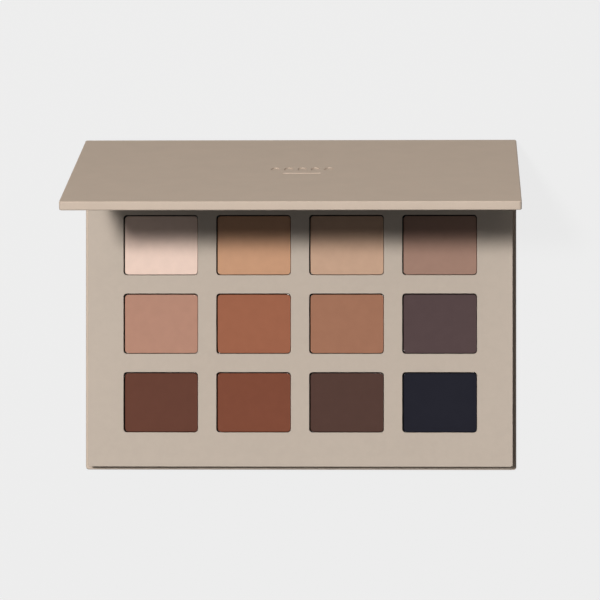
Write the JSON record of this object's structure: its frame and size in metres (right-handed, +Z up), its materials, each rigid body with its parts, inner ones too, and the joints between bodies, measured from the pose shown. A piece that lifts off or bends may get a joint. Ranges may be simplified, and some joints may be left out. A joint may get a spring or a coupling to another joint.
{
  "type": "eyeshadow palette",
  "caption": "Book-style palette: a paper-wrapped board case that folds at two creases, with a mirror in the lid and pans of pressed powder in the tray.",
  "frame": {"origin": "centre of the base board's underside, on the surface that the palette lies on", "axes": "+X to the user's right, along the hinge; +Y from the user towards the hinge; +Z up"},
  "size_m": [0.1508, 0.1153, 0.1035],
  "materials": {
    "cover_paper": "matte",
    "inner_paper": "matte",
    "filler_paper": "matte",
    "greyboard": "matte",
    "magnet": "satin",
    "adhesive": "matte",
    "mirror_glass": "polished",
    "pan_tin": "satin",
    "powder_r1_c1": "matte",
    "powder_r1_c2": "matte",
    "powder_r1_c3": "matte",
    "powder_r1_c4": "matte",
    "powder_r2_c1": "matte",
    "powder_r2_c2": "matte",
    "powder_r2_c3": "matte",
    "powder_r2_c4": "matte",
    "powder_r3_c1": "matte",
    "powder_r3_c2": "matte",
    "powder_r3_c3": "matte",
    "powder_r3_c4": "matte"
  },
  "bodies": {
    "base": {"base_board": "greyboard", "base_end_liner": "inner_paper", "base_filler": "filler_paper", "base_wrap": "cover_paper", "cell_frame": "greyboard", "face_card": "inner_paper", "lower_hinge": "cover_paper", "pan_adhesive_pads": "adhesive", "pan_r1_c1": "pan_tin", "pan_r1_c2": "pan_tin", "pan_r1_c3": "pan_tin", "pan_r1_c4": "pan_tin", "pan_r2_c1": "pan_tin", "pan_r2_c2": "pan_tin", "pan_r2_c3": "pan_tin", "pan_r2_c4": "pan_tin", "pan_r3_c1": "pan_tin", "pan_r3_c2": "pan_tin", "pan_r3_c3": "pan_tin", "pan_r3_c4": "pan_tin", "powder_r1_c1": "powder_r1_c1", "powder_r1_c2": "powder_r1_c2", "powder_r1_c3": "powder_r1_c3", "powder_r1_c4": "powder_r1_c4", "powder_r2_c1": "powder_r2_c1", "powder_r2_c2": "powder_r2_c2", "powder_r2_c3": "powder_r2_c3", "powder_r2_c4": "powder_r2_c4", "powder_r3_c1": "powder_r3_c1", "powder_r3_c2": "powder_r3_c2", "powder_r3_c3": "powder_r3_c3", "powder_r3_c4": "powder_r3_c4", "tray_magnets": "magnet", "tray_spacer": "greyboard", "tray_wrap": "inner_paper"},
    "spine": {"spine_board": "greyboard", "spine_filler": "filler_paper", "spine_liner": "inner_paper", "spine_wrap": "cover_paper", "upper_hinge": "cover_paper"},
    "lid": {"lid_filler": "filler_paper", "lid_frame_board": "greyboard", "lid_liner": "inner_paper", "lid_magnets": "magnet", "lid_outer_board": "greyboard", "lid_wrap": "cover_paper", "mirror": "mirror_glass", "mirror_tape": "adhesive"}
  },
  "joints": [
    {"name": "spine_crease", "type": "hinge", "parent": "base", "child": "spine", "pos_m": [0, 0.05303, 0.0002], "axis": [1, 0, 0], "range_deg": [-13.5, 76.5], "deforming": ["lower_hinge"]},
    {"name": "lid_crease", "type": "hinge", "parent": "spine", "child": "lid", "pos_m": [0, 0.06484, 0.00304], "axis": [-1, 0, 0], "range_deg": [0, 90], "deforming": ["upper_hinge"]}
  ]
}
